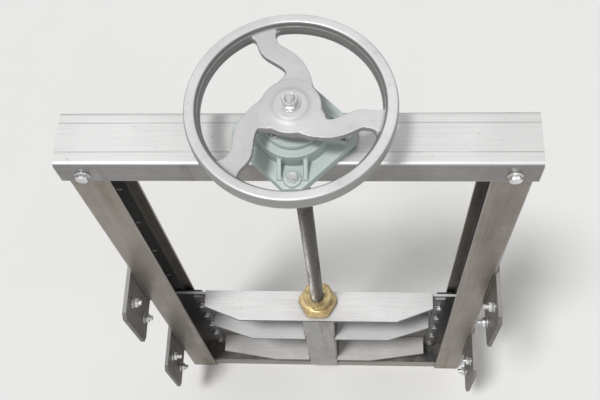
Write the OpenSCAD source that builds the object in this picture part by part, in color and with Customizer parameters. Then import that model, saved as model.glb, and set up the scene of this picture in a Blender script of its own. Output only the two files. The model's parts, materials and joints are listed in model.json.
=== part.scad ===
// Rising sluice gate for an open channel, worked by a handwheel on a screw stem that does not rise.
// Millimetres. X runs along the headstock beam, -Y points to the ribbed side of the leaf, +Z is up.
// The origin is the middle of the sill's flat underside.

/* [Frame] */
// Length of the headstock beam
frame_w = 760; // [740:5:820]
// Height from the underside of the sill to the top of the beam
frame_h = 1280; // [1240:5:1360]
// Depth of the guide posts
post_depth = 86; // [80:1:96]
// Reach of the post flanges towards the opening
post_flange = 67; // [58:1:76]
// Thickness of the folded plate of the posts, the beam and the sill
plate_t = 5; // [4:0.5:6]
// Outside radius of the folds
fold_r = 8; // [7:0.5:12]
// Height of the headstock beam's flanges
beam_h = 55; // [50:1:70]
// Height of the sill channel
sill_h = 30; // [26:1:36]

/* [Leaf] */
// Height of the leaf plate
leaf_h = 416; // [380:2:440]
// Thickness of the leaf plate
skin_t = 6; // [5:0.5:8]
// Thickness of the stiffening ribs
rib_t = 8; // [6:0.5:10]
// Thickness of the plate on top of the leaf
cap_t = 10; // [8:0.5:14]
// Width of the box that the stem runs down into
stem_box_w = 76; // [68:1:84]

/* [Screw and handwheel] */
// Diameter of the stem over its thread
stem_d = 30; // [26:1:32]
// Diameter of the handwheel
wheel_d = 315; // [280:1:340]
// Height of the handwheel's rim
rim_h = 26; // [22:1:30]
// Width of the handwheel's rim
rim_w = 18; // [16:0.5:22]
// Height of the rim's top above the beam
wheel_rise = 108; // [106:1:118]

/* [Bearing housing] */
// Diameter of the bearing housing's barrel
barrel_d = 114; // [104:1:120]
// Side of the square foot of the housing
foot_side = 156; // [150:1:160]
// Thickness of the foot
foot_t = 17; // [14:1:20]

/* [Wall brackets] */
// Height of a wall bracket
bracket_h = 190; // [170:5:210]
// Reach of a wall bracket in front of the post
bracket_reach = 98; // [80:1:120]
// Distance between the two anchor holes of a bracket
anchor_pitch = 110; // [90:5:120]
// Diameter of an anchor hole
anchor_hole_d = 14; // [12:1:18]

/* [Hidden] */
$fn = 64;
overcut = 1;

// Posts and beam
post_face = frame_w / 2 - plate_t;
channel_wall = post_face - plate_t;
groove_depth = post_depth - 2 * plate_t;
flange_edge = post_face - post_flange;
beam_depth = post_depth + 2 * plate_t;
beam_under = frame_h - plate_t;
fold_gap = fold_r - plate_t;
fold_bolt_d = 13;
fold_bolt_inset = 40;
fold_bolt_x = frame_w / 2 - fold_bolt_inset;
fold_bolt_z = frame_h - beam_h / 2 - plate_t;

// Sill and seal
sill_half = channel_wall - fold_gap;
seal_gap = 0.3;
seal_proud = 2;
seal_top = sill_h + seal_proud;

// Guide strips
guide_t = 6;
guide_w = 36;
guide_edge_gap = 6;
guide_h = frame_h - beam_h - 2 * guide_edge_gap - sill_h;

// Leaf
leaf_gap = 6;
leaf_side_gap = 14;
leaf_bottom = seal_top + seal_gap;
leaf_top = leaf_bottom + leaf_h;
leaf_depth = groove_depth - 2 * guide_t - 2 * leaf_gap;
leaf_back = leaf_depth / 2;
leaf_face = leaf_back - skin_t;
leaf_half_w = channel_wall - leaf_side_gap;
leaf_fold_r = 10;
rib_front = -post_depth / 2 - 4;
rib_side_gap = 36;
rib_end = flange_edge - rib_side_gap;
rib_pitch = [0.13, 0.625];
nose_half = [128, 170, 186];
cheek_y = [-25, -14, -14];
box_t = 4;
box_bottom = leaf_bottom + 2;
box_fold_r = 11;

// Side seals on the back of the leaf, and the bars that clamp them from the front
side_seal_t = 5;
side_seal_w = 36;
side_seal_lap = 12;
side_seal_out = flange_edge + side_seal_lap;
side_seal_in = side_seal_out - side_seal_w;
side_seal_margin = 2;
clamp_t = 5;
clamp_w = 24;
clamp_edge_gap = 4;
clamp_out = flange_edge - clamp_edge_gap;
clamp_in = clamp_out - clamp_w;
clamp_margin = 8;

// Lifting nut
running_gap = 0.05;
nut_foot_d = 90;
nut_foot_h = 15;
nut_waist_d = 54;
nut_ring_d = 64;
nut_ring_h = 12;
nut_h = 46;
nut_spigot_d = 46;
nut_seat_gap = 0.15;
nut_base = leaf_top + cap_t;

// Bearing housing
barrel_h = 45;
barrel_top = frame_h + barrel_h;
foot_reach = 96;
boss_r = 80;
boss_d = 27;
boss_h = 4;
foot_bolt_d = 13;
fin_t = 7;
fin_offset = 20;
fin_h = 24;
fin_inset = 8;
bearing_bore_d = 72;
bush_d = 42;
bush_top = frame_h + 24;
bush_drop = 12;
collar_d = 58;
collar_h = 14;
collar_gap = 0.3;
gland_d = 90;
gland_rise = 10;
gland_neck_d = 52;
gland_neck_h = 17;
gland_top = barrel_top + gland_rise + gland_neck_h;

// Stem and handwheel
rim_top = frame_h + wheel_rise;
rim_base = rim_top - rim_h;
rim_round = 7;
ledge_w = 3;
ledge_h = 15;
arm_t = 11;
arm_z = rim_base + 5;
ledge_drop = 2;
hub_d = 46;
hub_plate_d = 91;
hub_base = gland_top + 8;
hub_top = rim_top - 3;
tenon_d = 24;
hub_fit = 0.05;
thread_end_d = 14;
washer_d = 30;
washer_t = 3;
hub_nut_af = 22;
hub_nut_h = 13;
stem_top = hub_top + washer_t + hub_nut_h + 4;
stem_bottom = leaf_top - 22;
stem_chamfer = 3;
arm_count = 3;
arm_start = 80;
arm_sweep = 29.5;
arm_bend = [0.31, 0.70];
arm_span = [0.16, 0.92];
arm_half_w = 15.5;
arm_flare = 8;
arm_root = 9;
arm_steps = 22;

// Wall brackets
bracket_t = 8;
bracket_lap = 60;
bracket_corner = 12;
bracket_front = -post_depth / 2 - bracket_reach;
bracket_web_end = bracket_lap - post_depth / 2;
upper_bracket_z = 678;
lower_bracket_z = 240;
anchor_y = -post_depth / 2 - 0.53 * bracket_reach;

satin_steel = "#8f8b88";
dark_steel = "#4a4846";
cast_grey = "#b9bcb8";
pale_green = "#9db3a9";
brass_yellow = "#b08d3c";

// Folded channel in the XY plane: the web lies along Y at x = 0 and the flanges reach towards +X.
module channel_outline(web, reach, wall, bend) {
    difference() {
        bent_block(web, reach, bend);
        translate([wall, 0])
            bent_block(web - 2 * wall, reach, bend - wall);
    }
}

// Block whose two corners on the x = 0 side are rounded.
module bent_block(width, reach, radius) {
    translate([radius, -width / 2])
        square([reach - radius, width]);
    translate([0, radius - width / 2])
        square([reach, width - 2 * radius]);
    for (side = [-1, 1])
        translate([radius, side * (width / 2 - radius)])
            circle(radius);
}

// Hole along Y through both flanges of a folded channel.
module flange_hole(x, z, diameter) {
    translate([x, 0, z])
        rotate([90, 0, 0])
            cylinder(d = diameter, h = beam_depth + 2 * overcut, center = true);
}

// Guide post on the left; the right one mirrors it.
module post() {
    color(satin_steel)
        difference() {
            translate([-post_face, 0, 0])
                linear_extrude(beam_under - fold_gap)
                    channel_outline(post_depth, post_flange, plate_t, fold_r);
            flange_hole(-fold_bolt_x, fold_bolt_z, fold_bolt_d);
        }
}

module left_post() {
    post();
}

module right_post() {
    mirror([1, 0, 0]) post();
}

// Inverted folded channel that laps over both posts and carries the bearing housing.
module headstock_beam() {
    color(satin_steel)
        difference() {
            translate([-frame_w / 2, 0, frame_h])
                rotate([0, 90, 0])
                    linear_extrude(frame_w)
                        channel_outline(beam_depth, beam_h, plate_t, fold_r);
            translate([0, 0, beam_under - overcut])
                cylinder(d = bush_d, h = plate_t + 2 * overcut);
            for (side = [-1, 1]) {
                flange_hole(side * fold_bolt_x, fold_bolt_z, fold_bolt_d);
                translate([side * boss_r, 0, beam_under - overcut])
                    cylinder(d = foot_bolt_d, h = plate_t + 2 * overcut);
            }
        }
}

// Folded channel with its web down, which holds the bottom seal between the posts.
module sill_channel() {
    color(satin_steel)
        translate([-sill_half, 0, 0])
            rotate([0, -90, 180])
                linear_extrude(2 * sill_half)
                    difference() {
                        translate([0, -groove_depth / 2])
                            square([sill_h, groove_depth]);
                        translate([plate_t, plate_t - groove_depth / 2])
                            square([sill_h, groove_depth - 2 * plate_t]);
                    }
}

// Rubber strip that the leaf comes down on.
module sill_seal() {
    color("#222222")
        translate([-sill_half, plate_t - groove_depth / 2, plate_t])
            cube([2 * sill_half, groove_depth - 2 * plate_t, seal_top - plate_t]);
}

// Low-friction strip on the inside of a post flange.
module guide_strip(side_x, side_y) {
    x = channel_wall - guide_edge_gap - guide_w / 2;
    y = groove_depth / 2 - guide_t / 2;
    color("#d9d6cc")
        translate([side_x * x, side_y * y, sill_h + guide_edge_gap + guide_h / 2])
            cube([guide_w, guide_t, guide_h], center = true);
}

module left_front_guide() {
    guide_strip(-1, -1);
}

module left_back_guide() {
    guide_strip(-1, 1);
}

module right_front_guide() {
    guide_strip(1, -1);
}

module right_back_guide() {
    guide_strip(1, 1);
}

// Wall bracket on the right post: a plate flat on the post's web that reaches forward along the side wall.
module bracket(mid_z) {
    color(dark_steel)
        translate([post_face, 0, mid_z])
            difference() {
                rotate([90, 0, 90])
                    linear_extrude(bracket_t)
                        polygon([
                            [bracket_front, bracket_corner - bracket_h / 2],
                            [bracket_front + bracket_corner, -bracket_h / 2],
                            [bracket_web_end, -bracket_h / 2],
                            [bracket_web_end, bracket_h / 2],
                            [bracket_front + bracket_corner, bracket_h / 2],
                            [bracket_front, bracket_h / 2 - bracket_corner]
                        ]);
                for (step = [-0.5, 0.5])
                    translate([-overcut, anchor_y, step * anchor_pitch])
                        rotate([0, 90, 0])
                            cylinder(d = anchor_hole_d, h = bracket_t + 2 * overcut);
            }
}

module right_upper_bracket() {
    bracket(upper_bracket_z);
}

module right_lower_bracket() {
    bracket(lower_bracket_z);
}

module left_upper_bracket() {
    mirror([1, 0, 0]) bracket(upper_bracket_z);
}

module left_lower_bracket() {
    mirror([1, 0, 0]) bracket(lower_bracket_z);
}

// Foot of the housing in plan: a square set corner to the front, with its four corners cut flat.
module foot_outline() {
    intersection() {
        rotate(45)
            square(foot_side, center = true);
        square(2 * foot_reach, center = true);
    }
}

// Thin fin beside a corner boss, sloping from the barrel down to the foot.
module foot_fin(offset_y) {
    root = barrel_d / 2 - 8;
    tip = foot_side / sqrt(2) - abs(offset_y) - fin_inset;
    translate([0, offset_y + fin_t / 2, 0])
        rotate([90, 0, 0])
            linear_extrude(fin_t)
                polygon([[root, 0], [tip, 0], [tip, 3], [root, fin_h]]);
}

// Cast housing that holds the stem's thrust collar and stands corner to the front on the beam.
module bearing_housing() {
    color(pale_green)
        difference() {
            union() {
                translate([0, 0, frame_h])
                    linear_extrude(foot_t)
                        foot_outline();
                translate([0, 0, frame_h])
                    cylinder(d = barrel_d, h = barrel_top - frame_h);
                for (turn = [0:90:270])
                    rotate(turn) {
                        translate([boss_r, 0, frame_h])
                            cylinder(d = boss_d, h = foot_t + boss_h);
                        for (side = [-1, 1])
                            translate([0, 0, frame_h + foot_t])
                                foot_fin(side * fin_offset);
                    }
            }
            translate([0, 0, bush_top - 4])
                cylinder(d = bearing_bore_d, h = barrel_top);
            translate([0, 0, frame_h - overcut])
                cylinder(d = bush_d, h = barrel_top - frame_h);
            for (turn = [0:90:270])
                rotate(turn)
                    translate([boss_r, 0, frame_h - overcut])
                        cylinder(d = foot_bolt_d, h = foot_t + boss_h + 2 * overcut);
        }
}

// Bronze bush under the thrust collar, let through the beam's web.
module lower_bush() {
    color(brass_yellow)
        difference() {
            translate([0, 0, frame_h - bush_drop])
                cylinder(d = bush_d, h = bush_top + bush_drop - frame_h);
            translate([0, 0, frame_h - bush_drop - overcut])
                cylinder(d = stem_d + 2 * running_gap, h = bush_top + bush_drop - frame_h + 2 * overcut);
        }
}

// Gland on top of the housing; its spigot keeps the thrust collar down.
module bearing_gland() {
    spigot_base = bush_top + collar_h + 2 * collar_gap;
    color(pale_green)
        difference() {
            union() {
                translate([0, 0, spigot_base])
                    cylinder(d = bearing_bore_d, h = barrel_top + gland_rise - spigot_base);
                translate([0, 0, barrel_top])
                    cylinder(d = gland_d, h = gland_rise);
                translate([0, 0, barrel_top])
                    cylinder(d = gland_neck_d, h = gland_top - barrel_top);
            }
            translate([0, 0, spigot_base - overcut])
                cylinder(d = stem_d + 2 * running_gap, h = gland_top - spigot_base + 2 * overcut);
        }
}

// Screw stem: shoulder under the hub, tenon through it, threaded end above and a tapered foot.
module stem() {
    color(dark_steel)
        rotate_extrude()
            polygon([
                [0, stem_bottom],
                [stem_d / 2 - stem_chamfer, stem_bottom],
                [stem_d / 2, stem_bottom + 2 * stem_chamfer],
                [stem_d / 2, hub_base],
                [tenon_d / 2, hub_base],
                [tenon_d / 2, hub_top - 1],
                [thread_end_d / 2, hub_top - 1],
                [thread_end_d / 2, stem_top - 1],
                [thread_end_d / 2 - 1, stem_top],
                [0, stem_top]
            ]);
}

// Thrust collar on the stem between the bush and the gland.
module stem_collar() {
    color(dark_steel)
        translate([0, 0, bush_top + collar_gap])
            difference() {
                cylinder(d = collar_d, h = collar_h);
                translate([0, 0, -overcut])
                    cylinder(d = stem_d, h = collar_h + 2 * overcut);
            }
}

// Section of the rim: rounded on every corner, with a ledge on the inside where the arms run in.
module rim_section() {
    inner = wheel_d / 2 - rim_w;
    translate([inner, rim_base + rim_round])
        square([rim_w, rim_h - 2 * rim_round]);
    translate([inner + rim_round, rim_base])
        square([rim_w - 2 * rim_round, rim_h]);
    for (x = [inner + rim_round, wheel_d / 2 - rim_round], z = [rim_base + rim_round, rim_top - rim_round])
        translate([x, z])
            circle(rim_round);
    translate([inner - ledge_w, arm_z - ledge_drop])
        square([ledge_w + 1, ledge_h]);
}

// Eases from 0 to 1 without a corner at either end.
function eased(t) = t <= 0 ? 0 : t >= 1 ? 1 : t * t * (3 - 2 * t);

// Point on an arm's centre line: radial at the hub, swept round by arm_sweep, and radial again at the rim.
function arm_centre(share) =
    let (
        r = share * wheel_d / 2,
        turn = arm_start + arm_sweep * eased((share - arm_bend[0]) / (arm_bend[1] - arm_bend[0]))
    )
    [r * cos(turn), r * sin(turn)];

// Half the arm's width, which flares at the hub and again where it runs into the rim.
function arm_half(share) =
    arm_half_w + arm_flare * eased((share - 0.78) / 0.15) + arm_root * eased((0.40 - share) / 0.14);

// Point on one edge of an arm, square to its centre line.
function arm_edge(share, side) =
    let (way = arm_centre(share + 0.01) - arm_centre(share - 0.01))
    arm_centre(share) + side * arm_half(share) * [-way.y, way.x] / norm(way);

// One swept arm from the hub to the rim.
module arm_outline() {
    shares = [for (i = [0:arm_steps]) arm_span[0] + (arm_span[1] - arm_span[0]) * i / arm_steps];
    polygon(concat(
        [for (i = [0:arm_steps]) arm_edge(shares[i], 1)],
        [for (i = [arm_steps:-1:0]) arm_edge(shares[i], -1)]
    ));
}

// Cast handwheel with three swept arms.
module handwheel() {
    color(cast_grey)
        difference() {
            union() {
                rotate_extrude($fn = 96)
                    rim_section();
                for (i = [0:arm_count - 1])
                    translate([0, 0, arm_z])
                        rotate(i * 360 / arm_count)
                            linear_extrude(arm_t)
                                arm_outline();
                translate([0, 0, arm_z - 1])
                    cylinder(d = hub_plate_d, h = arm_t + 2);
                translate([0, 0, hub_base])
                    cylinder(d = hub_d, h = hub_top - hub_base);
            }
            translate([0, 0, hub_base - overcut])
                cylinder(d = tenon_d + 2 * hub_fit, h = hub_top - hub_base + 2 * overcut);
        }
}

module hub_washer() {
    color(satin_steel)
        translate([0, 0, hub_top])
            difference() {
                cylinder(d = washer_d, h = washer_t);
                translate([0, 0, -overcut])
                    cylinder(d = thread_end_d + 0.4, h = washer_t + 2 * overcut);
            }
}

module hub_nut() {
    color(satin_steel)
        translate([0, 0, hub_top + washer_t])
            difference() {
                cylinder(d = hub_nut_af / cos(30), h = hub_nut_h, $fn = 6);
                translate([0, 0, -overcut])
                    cylinder(d = thread_end_d, h = hub_nut_h + 2 * overcut);
            }
}

// Leaf: one plate whose sides are folded forward to run between the guide strips.
module leaf_plate() {
    color(satin_steel)
        translate([0, leaf_back, leaf_bottom])
            rotate(-90)
                linear_extrude(leaf_h)
                    channel_outline(2 * leaf_half_w, leaf_depth, skin_t, leaf_fold_r);
}

// Plate that closes the leaf's top, carries the lifting nut and lets the stem through.
module leaf_top_plate() {
    color(satin_steel)
        translate([0, 0, leaf_top])
            difference() {
                linear_extrude(cap_t)
                    polygon([
                        [-rib_end, leaf_back], [-rib_end, cheek_y[2]], [-nose_half[2], rib_front],
                        [nose_half[2], rib_front], [rib_end, cheek_y[2]], [rib_end, leaf_back]
                    ]);
                translate([0, 0, -overcut])
                    cylinder(d = nut_spigot_d + 2 * nut_seat_gap, h = cap_t + 2 * overcut);
            }
}

// Horizontal stiffening rib on the right half of the leaf.
module rib(i) {
    color(satin_steel)
        translate([0, 0, leaf_bottom + rib_pitch[i] * leaf_h])
            linear_extrude(rib_t)
                polygon([
                    [stem_box_w / 2, leaf_face], [rib_end, leaf_face], [rib_end, cheek_y[i]],
                    [nose_half[i], rib_front], [stem_box_w / 2, rib_front]
                ]);
}

module right_middle_rib() {
    rib(1);
}

module left_middle_rib() {
    mirror([1, 0, 0]) rib(1);
}

module right_lower_rib() {
    rib(0);
}

module left_lower_rib() {
    mirror([1, 0, 0]) rib(0);
}

// Rubber side seal on the back of the leaf, which runs behind the post's flange.
module side_seal() {
    color("#222222")
        translate([side_seal_in, leaf_back, leaf_bottom + side_seal_margin])
            cube([side_seal_out - side_seal_in, side_seal_t, leaf_h - 2 * side_seal_margin]);
}

module right_side_seal() {
    side_seal();
}

module left_side_seal() {
    mirror([1, 0, 0]) side_seal();
}

// Flat bar on the ribbed face of the leaf; its bolts go through the plate and hold the side seal.
module clamp_bar() {
    color(satin_steel)
        translate([clamp_in, leaf_face - clamp_t, leaf_bottom + clamp_margin])
            cube([clamp_out - clamp_in, clamp_t, leaf_h - 2 * clamp_margin]);
}

module right_clamp_bar() {
    clamp_bar();
}

module left_clamp_bar() {
    mirror([1, 0, 0]) clamp_bar();
}

// Folded box down the middle of the leaf that the stem runs into as the leaf rises.
module stem_box() {
    color(satin_steel)
        translate([0, rib_front, box_bottom])
            rotate(90)
                linear_extrude(leaf_top - box_bottom)
                    channel_outline(stem_box_w, leaf_face - rib_front, box_t, box_fold_r);
}

// Brass lifting nut: a six-sided foot on the leaf, a waist and a turned ring round the stem.
module lifting_nut() {
    color(brass_yellow)
        difference() {
            union() {
                translate([0, 0, leaf_top])
                    cylinder(d = nut_spigot_d, h = cap_t);
                translate([0, 0, nut_base])
                    intersection() {
                        cylinder(d = nut_foot_d * 1.06, h = nut_foot_h, $fn = 6);
                        cylinder(d = nut_foot_d, h = nut_foot_h);
                    }
                translate([0, 0, nut_base])
                    cylinder(d = nut_waist_d, h = nut_h);
                translate([0, 0, nut_base + nut_h - nut_ring_h])
                    cylinder(d = nut_ring_d, h = nut_ring_h);
            }
            translate([0, 0, leaf_top - overcut])
                cylinder(d = stem_d + 2 * running_gap, h = cap_t + nut_h + 2 * overcut);
        }
}

left_post();
right_post();
headstock_beam();
sill_channel();
sill_seal();
left_front_guide();
left_back_guide();
right_front_guide();
right_back_guide();
left_upper_bracket();
left_lower_bracket();
right_upper_bracket();
right_lower_bracket();
bearing_housing();
lower_bush();
bearing_gland();
stem();
stem_collar();
handwheel();
hub_washer();
hub_nut();
leaf_plate();
leaf_top_plate();
left_middle_rib();
right_middle_rib();
left_lower_rib();
right_lower_rib();
left_side_seal();
right_side_seal();
left_clamp_bar();
right_clamp_bar();
stem_box();
lifting_nut();
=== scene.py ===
# %% [markdown]
# # A sluice gate, dressed in Blender
# The packed model gives every rigid part at its true size. It is loaded once, and everything
# below is placed from its boxes. Lengths are in millimetres, and MM turns them into Blender's
# metres. Inside a shader, heights and the grain of a noise are in metres.

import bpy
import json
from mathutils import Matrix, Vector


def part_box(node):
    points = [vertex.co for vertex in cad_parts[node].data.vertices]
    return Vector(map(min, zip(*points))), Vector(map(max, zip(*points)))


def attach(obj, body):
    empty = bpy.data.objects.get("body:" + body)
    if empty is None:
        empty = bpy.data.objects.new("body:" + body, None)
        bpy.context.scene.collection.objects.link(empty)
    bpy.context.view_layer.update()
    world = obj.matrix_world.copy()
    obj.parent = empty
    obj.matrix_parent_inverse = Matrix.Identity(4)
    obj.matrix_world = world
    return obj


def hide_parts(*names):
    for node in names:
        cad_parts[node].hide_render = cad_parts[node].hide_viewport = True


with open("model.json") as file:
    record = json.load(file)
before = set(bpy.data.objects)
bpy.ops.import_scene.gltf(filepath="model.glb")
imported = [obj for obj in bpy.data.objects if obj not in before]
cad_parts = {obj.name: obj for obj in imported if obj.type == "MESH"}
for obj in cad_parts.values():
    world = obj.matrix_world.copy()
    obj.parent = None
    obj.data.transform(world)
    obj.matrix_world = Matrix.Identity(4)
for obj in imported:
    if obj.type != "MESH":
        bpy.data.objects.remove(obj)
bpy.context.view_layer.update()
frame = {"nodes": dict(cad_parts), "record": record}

import json
import math
import random
from collections import namedtuple

import bmesh
import bpy
from mathutils import Matrix, Vector
from mathutils.bvhtree import BVHTree

MM = 0.001
UP = Vector((0, 0, 1))


def levels(node):
    """Lowest and highest level of a CAD node, in millimetres."""
    return [corner.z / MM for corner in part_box(node)]


# %% [markdown]
# ## Camera
# The camera stands in front of the gate and well above it and looks steeply down, with the
# picture tipped a few degrees. Lens shift could bring the gate to the middle of the picture, but
# it would put the other views off centre. Turning the camera instead keeps it in the same place,
# so every part still hides what it hides in the photograph.

# %% Camera
YAW, PITCH, ROLL = (math.radians(angle) for angle in (-5.461, 53.460, -4.894))
CAMERA_PLACE = (0.1046, -0.6640, 2.5125)
AIM_LEFT, AIM_DOWN = 0.012, 0.213

forward = Vector((math.sin(YAW) * math.cos(PITCH), math.cos(YAW) * math.cos(PITCH),
                  -math.sin(PITCH)))
level = Vector((math.cos(YAW), -math.sin(YAW), 0))
above = level.cross(forward)
right = math.cos(ROLL) * level + math.sin(ROLL) * above
upward = math.cos(ROLL) * above - math.sin(ROLL) * level
aim = (forward - AIM_LEFT * right - AIM_DOWN * upward).normalized()
side = (right - right.dot(aim) * aim).normalized()
camera_data = bpy.data.cameras.new("camera")
camera_data.sensor_width, camera_data.lens = 36, 54
camera = bpy.data.objects.new("camera", camera_data)
turned = Matrix((side, side.cross(aim), -aim)).transposed().to_4x4()
camera.matrix_world = Matrix.Translation(CAMERA_PLACE) @ turned
bpy.context.scene.collection.objects.link(camera)
bpy.context.scene.camera = camera
bpy.context.scene.view_settings.view_transform = "Standard"
print("camera at", CAMERA_PLACE, "looks along", [round(v, 3) for v in aim])


# %% [markdown]
# ## Shader maths written as Python
# A finish on real steel is a sum of small things: grain, stains, worn edges. In Blender each is
# a node, and wiring them by hand is long. This class wraps a socket, so that `1 - mask` or
# `0.3 + 0.2 * grain` adds the Math nodes.

# %% A socket that does sums
class Wire:
    """A node's socket. Sums on it add Math nodes, and every other node comes from node()."""

    def __init__(self, tree, socket):
        self.tree, self.socket = tree, socket

    def node(self, kind, settings, inputs, out=0):
        """Adds a node. Its settings come first, then its inputs take values or links."""
        made = self.tree.nodes.new(kind)
        for key, value in settings.items():
            setattr(made, key, value)
        for key, value in inputs.items():
            if isinstance(value, Wire):
                self.tree.links.new(value.socket, made.inputs[key])
            else:
                made.inputs[key].default_value = value
        return Wire(self.tree, made.outputs[out])

    def math(self, operation, *values):
        return self.node("ShaderNodeMath", {"operation": operation}, dict(enumerate(values)))

    def vector(self, operation, *values, out="Vector"):
        """Vector maths on this socket. A length or a dot product comes out as "Value"."""
        inputs = dict(enumerate((self, *values)))
        return self.node("ShaderNodeVectorMath", {"operation": operation}, inputs, out)

    def __add__(self, other):
        return self.math("ADD", self, other)

    def __sub__(self, other):
        return self.math("SUBTRACT", self, other)

    def __rsub__(self, other):
        return self.math("SUBTRACT", other, self)

    def __mul__(self, other):
        return self.math("MULTIPLY", self, other)

    __radd__, __rmul__ = __add__, __mul__

    def __abs__(self):
        return self.math("ABSOLUTE", self)

    def most(self, other):
        return self.math("MAXIMUM", self, other)

    def between(self, low, high):
        """0 below low, 1 above high, and a smooth step between; low may be the larger one."""
        return self.node("ShaderNodeMapRange", {"interpolation_type": "SMOOTHSTEP"},
                         {"Value": self, "From Min": low, "From Max": high})

    def blend(self, first, second):
        """Colour first where this is 0, and second where it is 1. In a Mix node, inputs 6 and 7
        and output 2 are the colours."""
        return self.node("ShaderNodeMix", {"data_type": "RGBA"},
                         {0: self, 6: as_colour(first), 7: as_colour(second)}, out=2)

    def stretched(self, scale):
        return self.vector("MULTIPLY", scale)

    def from_axis(self):
        """Distance from the Z axis, which is the middle of the screw and the wheel."""
        return self.stretched((1, 1, 0)).vector("LENGTH", out="Value")

    def noise(self, scale, detail=3.0, roughness=0.55):
        """Noise whose grain may be drawn out: scale has one number per axis, in grains a metre."""
        scale = scale if isinstance(scale, tuple) else (scale,) * 3
        return self.node("ShaderNodeTexNoise", {},
                         {"Vector": self.stretched(scale), "Scale": 1.0, "Detail": detail,
                          "Roughness": roughness})

    def part(self, axis):
        return self.node("ShaderNodeSeparateXYZ", {}, {0: self}, out=axis)

    def surface(self, reading):
        """What Blender reads off the surface itself, such as its Normal or its Pointiness."""
        return self.node("ShaderNodeNewGeometry", {}, {}, out=reading)


def as_colour(value):
    return value if isinstance(value, Wire) else (*value, 1)


print("a wire knows:", [name for name in vars(Wire) if not name.startswith("_")])


# %% [markdown]
# ## A blank finish
# Every finish here is one Principled shader. What is the same all over is set on the shader
# itself, and what changes over the surface is wired in. A colour is built as a painter would do
# it, one thin layer over another, each with a mask that says where it lies.

# %% Blank finish
def blank(name, **constants):
    """A new material, a Wire on the object's own coordinates, and its shader."""
    material = bpy.data.materials.new(name)
    material.use_nodes = True
    tree = material.node_tree
    tree.nodes.clear()
    shader = tree.nodes.new("ShaderNodeBsdfPrincipled")
    output = tree.nodes.new("ShaderNodeOutputMaterial")
    tree.links.new(shader.outputs["BSDF"], output.inputs["Surface"])
    for key, value in constants.items():
        shader.inputs[key.replace("_", " ").title()].default_value = value
    place = tree.nodes.new("ShaderNodeTexCoord").outputs["Object"]
    return material, Wire(tree, place), shader


def wire_in(shader, **wires):
    for key, wire in wires.items():
        wire.tree.links.new(wire.socket, shader.inputs[key.replace("_", " ").title()])


def layered(tone, *layers):
    """Lays each (mask, colour) over the tone in turn."""
    for mask, colour in layers:
        tone = mask.blend(tone, colour)
    return tone


def times(tone, factor, most=1.0):
    """A tone made lighter or darker, with none of its parts above most."""
    return tuple(min(most, factor * part) for part in tone)


print("a pale tone darkened by half:", times((0.6, 0.6, 0.6), 0.5))


# %% [markdown]
# ## Masks that read the shape
# Wear, dirt and painted light and shade follow the shape, so a few masks read it. `edges` finds
# rubbed corners by comparing the surface's normal with one that a Bevel node has rounded.
# `corners` finds the places between plates that light hardly reaches, where shade is painted, and
# `facing_up` the faces that point up, which take painted sunlight and dust, while upright faces
# take painted shade.
# `bumped` adds small relief, on top of corners that are rounded for the light alone.

# %% Masks from the shape
def rounded(place, radius):
    return place.node("ShaderNodeBevel", {"samples": 4}, {"Radius": radius * MM})


def edges(place, radius):
    """1 on corners that stand out or turn in within radius, 0 on flat faces."""
    same = rounded(place, radius).vector("DOT_PRODUCT", place.surface("Normal"), out="Value")
    return (1 - same).between(0.01, 0.2)


def facing_up(place):
    return place.surface("Normal").part("Z").between(0.6, 0.95)


def corners(place, reach):
    """1 deep in a corner between plates, where painted shade goes, 0 in the open."""
    open_share = place.node("ShaderNodeAmbientOcclusion", {"samples": 4},
                            {"Distance": reach * MM}, out="AO")
    return open_share.between(0.8, 0.25)


def bumped(place, height, depth, radius):
    """Relief of this depth, on corners rounded to radius."""
    return place.node("ShaderNodeBump", {},
                      {"Height": height, "Distance": depth * MM, "Strength": 1.0,
                       "Normal": rounded(place, radius)})


print("masks:", [mask.__name__ for mask in (edges, facing_up, corners)])


# %% [markdown]
# ## Folded steel
# The posts, beam and leaf are plate that was rolled, cut and folded, then left outdoors. Three
# things show: a fine grain along the rolling direction, broad cloudy tones where it was handled,
# and brown streaks that ran down it. Noise stretched along one axis gives the grain and the
# streaks. Low down, pale silt has dried on in a ragged line.

# %% Folded steel
RUST_STREAK = (0.115, 0.078, 0.052)
# painted shade for the corners between plates
PAINTED_CORNER_SHADE = (0.075, 0.062, 0.05)
DARK_SPECK = (0.05, 0.042, 0.036)
SILT = (0.37, 0.335, 0.29)


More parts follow.
